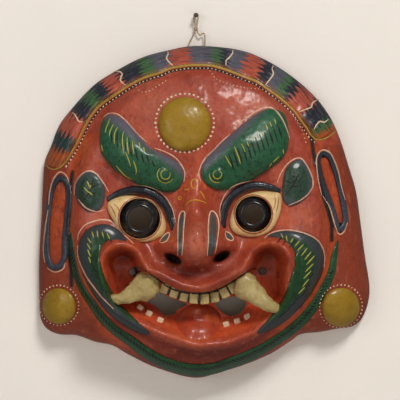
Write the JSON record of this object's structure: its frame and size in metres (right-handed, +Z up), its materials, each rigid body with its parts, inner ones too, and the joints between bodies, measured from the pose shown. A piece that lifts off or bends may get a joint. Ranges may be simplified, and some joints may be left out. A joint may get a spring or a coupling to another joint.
{
  "type": "papier-mache wall mask",
  "caption": "Hollow painted guardian mask with raised brows, sight holes, open fanged mouth and ear panels, hung from a nail by a short cord.",
  "frame": {"origin": "on the nail's axis where it meets the wall plane Y = 0", "axes": "+X to the viewer's right, +Z up, the mask faces -Y and its back rim lies on Y = 0"},
  "size_m": [0.2994, 0.1123, 0.3297],
  "materials": {
    "steel_nail": "satin",
    "twine": "matte",
    "red_paper": "gloss",
    "striped_paper": "gloss",
    "ochre_paper": "gloss",
    "green_paper": "gloss",
    "black_paper": "gloss",
    "cream_paper": "gloss",
    "slate_paper": "gloss",
    "ivory_paper": "satin",
    "dark_red_paper": "gloss"
  },
  "bodies": {
    "nail": {"wall_nail": "steel_nail"},
    "cord": {"hanging_cord": "twine", "cord_knot": "twine", "stopper_knots": "twine"},
    "mask": {"face_shell": "red_paper", "head_band": "striped_paper", "forehead_boss": "ochre_paper", "brow_left": "green_paper", "brow_right": "green_paper", "eyelid_left": "black_paper", "eyelid_right": "black_paper", "eye_left": "cream_paper", "eye_right": "cream_paper", "iris_left": "black_paper", "iris_right": "black_paper", "temple_leaf_left": "slate_paper", "temple_leaf_right": "slate_paper", "upper_teeth": "ivory_paper", "lower_teeth_left": "ivory_paper", "lower_teeth_right": "ivory_paper", "fang_left": "ivory_paper", "fang_right": "ivory_paper", "tongue": "dark_red_paper", "flame_left": "green_paper", "flame_right": "green_paper", "beard_band": "green_paper", "ear_loop_left": "slate_paper", "ear_loop_right": "slate_paper", "ear_disc_left": "ochre_paper", "ear_disc_right": "ochre_paper"}
  },
  "joints": [
    {"name": "swing", "type": "hinge", "parent": "nail", "child": "cord", "pos_m": [0, -0.004, 0], "axis": [0, 1, 0], "range_deg": [-15, 15]},
    {"name": "tilt", "type": "hinge", "parent": "cord", "child": "mask", "pos_m": [0, -0.004, -0.031], "axis": [-1, 0, 0], "range_deg": [0, 20]}
  ]
}
